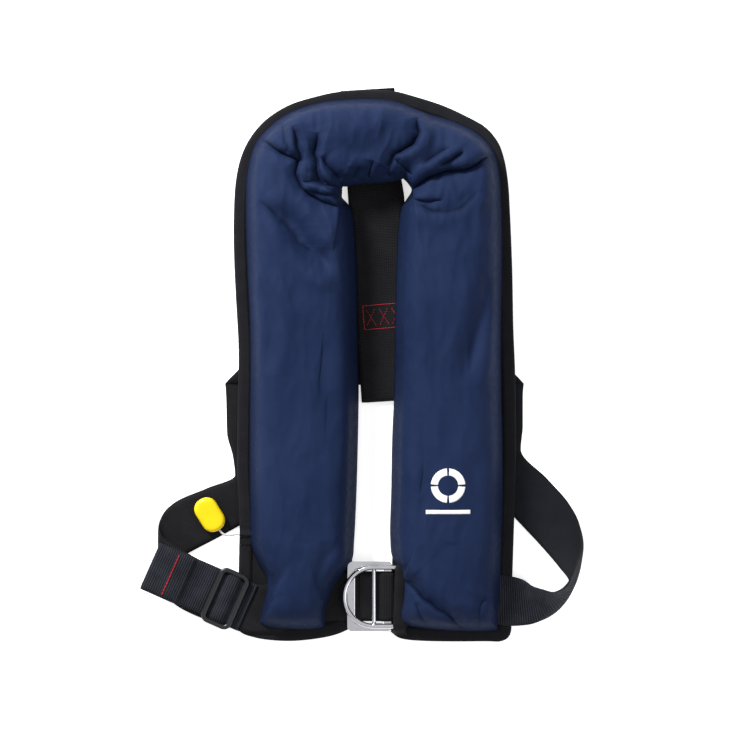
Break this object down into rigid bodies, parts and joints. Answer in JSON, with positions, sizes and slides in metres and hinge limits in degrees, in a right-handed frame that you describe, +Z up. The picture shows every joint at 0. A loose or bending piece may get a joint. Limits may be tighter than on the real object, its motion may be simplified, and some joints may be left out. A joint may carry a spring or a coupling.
{
  "type": "inflatable life jacket",
  "caption": "Inflatable life jacket laid flat: padded horseshoe cover, back strap, waist belt with steel D ring buckle, adjuster and yellow pull handle.",
  "frame": {"origin": "on the floor under the middle of the jacket and its belt as it lies on its back", "axes": "+X across the chest, +Y towards the collar, +Z up from the floor, out of the jacket's front"},
  "size_m": [0.446, 0.556, 0.0544],
  "materials": {
    "black_fabric": "woven",
    "binding": "ribbed tape",
    "navy_cover": "coated weave with a soft sheen",
    "bladder_fabric": "coated",
    "webbing": "ribbed webbing",
    "gas_steel": "plated",
    "seal_rubber": "moulded",
    "head_plastic": "moulded",
    "lever_plastic": "moulded",
    "bright_steel": "polished",
    "stud_brass": "machined",
    "clip_plastic": "moulded",
    "white_cord": "braided",
    "yellow_handle": "moulded",
    "tube_rubber": "moulded",
    "whistle_plastic": "moulded",
    "white_print": "print"
  },
  "bodies": {
    "jacket": {"back_panel": "black_fabric", "back_strap": "webbing", "belt_carrier_left": "webbing", "belt_carrier_right": "webbing", "bladder": "bladder_fabric", "buckle_frame": "bright_steel", "cover_collar": "navy_cover", "cover_left_lobe": "navy_cover", "cover_right_lobe": "navy_cover", "cylinder_seal": "seal_rubber", "edge_binding": "binding", "inflator_head": "head_plastic", "lever_pivot": "bright_steel", "manifold_nut": "stud_brass", "manifold_stud": "stud_brass", "oral_elbow": "tube_rubber", "oral_tube": "tube_rubber", "oral_valve": "head_plastic", "pin_spring": "bright_steel", "printed_bar": "white_print", "printed_ring": "white_print", "status_clip": "clip_plastic", "waist_belt": "webbing", "whistle": "whistle_plastic"},
    "adjuster": {"belt_adjuster": "head_plastic", "belt_tail": "webbing"},
    "ring": {"d_ring": "bright_steel"},
    "handle": {"pull_handle": "yellow_handle", "pull_cord": "white_cord", "pull_cord_inner": "white_cord"},
    "lever": {"firing_lever": "lever_plastic"},
    "pin": {"firing_pin": "bright_steel"},
    "cylinder": {"gas_cylinder": "gas_steel"},
    "plunger": {"valve_plunger": "lever_plastic"},
    "cap": {"dust_cap": "head_plastic"}
  },
  "joints": [
    {"name": "ring_swing", "type": "hinge", "parent": "jacket", "child": "ring", "pos_m": [0.034, -0.233, 0.0165], "axis": [0, 1, 0], "range_deg": [0, 90]},
    {"name": "adjuster_slide", "type": "slide", "parent": "jacket", "child": "adjuster", "axis": [-0.9135, 0.4067, 0], "range_m": [0, 0.03]},
    {"name": "handle_pull", "type": "slide", "parent": "jacket", "child": "handle", "axis": [-1, 0, 0], "range_m": [0, 0.02968]},
    {"name": "lever_swing", "type": "hinge", "parent": "jacket", "child": "lever", "pos_m": [-0.084, -0.147, 0.026], "axis": [0, 0, -1], "range_deg": [0, 64.1]},
    {"name": "pin_strike", "type": "slide", "parent": "jacket", "child": "pin", "axis": [0, 1, 0], "range_m": [0, 0.00637], "deforming": ["pin_spring"]},
    {"name": "cylinder_unscrew", "type": "hinge", "parent": "jacket", "child": "cylinder", "pos_m": [-0.084, 0, 0.026], "axis": [0, 1, 0], "continuous": true},
    {"name": "plunger_press", "type": "slide", "parent": "jacket", "child": "plunger", "axis": [0, 1, 0], "range_m": [0, 0.002], "stiffness_N_per_m": 300},
    {"name": "cap_pull", "type": "slide", "parent": "jacket", "child": "cap", "axis": [0, -1, 0], "range_m": [0, 0.02]}
  ],
  "couplings": [
    {"joint": "lever_swing", "follows": "handle_pull", "rad_per_m": 37.641},
    {"joint": "pin_strike", "follows": "handle_pull", "ratio": 0.21429}
  ]
}
